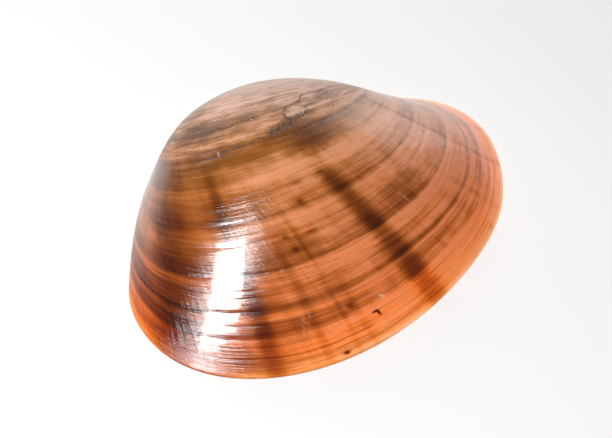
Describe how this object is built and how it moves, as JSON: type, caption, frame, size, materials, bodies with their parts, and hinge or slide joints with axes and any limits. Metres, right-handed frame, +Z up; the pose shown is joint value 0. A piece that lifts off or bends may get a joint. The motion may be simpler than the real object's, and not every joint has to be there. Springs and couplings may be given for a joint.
{
  "type": "smooth clam shell",
  "caption": "One empty right valve of a smooth clam, glossy chestnut brown with an orange margin, lying on its rim with its dome up.",
  "frame": {"origin": "middle of the valve's footprint, on the plane of its rim, which is what it rests on", "axes": "+X towards the shell's short front end, +Y towards its hinge and beak, +Z up out of the dome"},
  "size_m": [0.0808, 0.0614, 0.02],
  "materials": {
    "shell": "very glossy outside, satin inside"
  },
  "bodies": {
    "root": {"valve": "shell"}
  },
  "joints": []
}
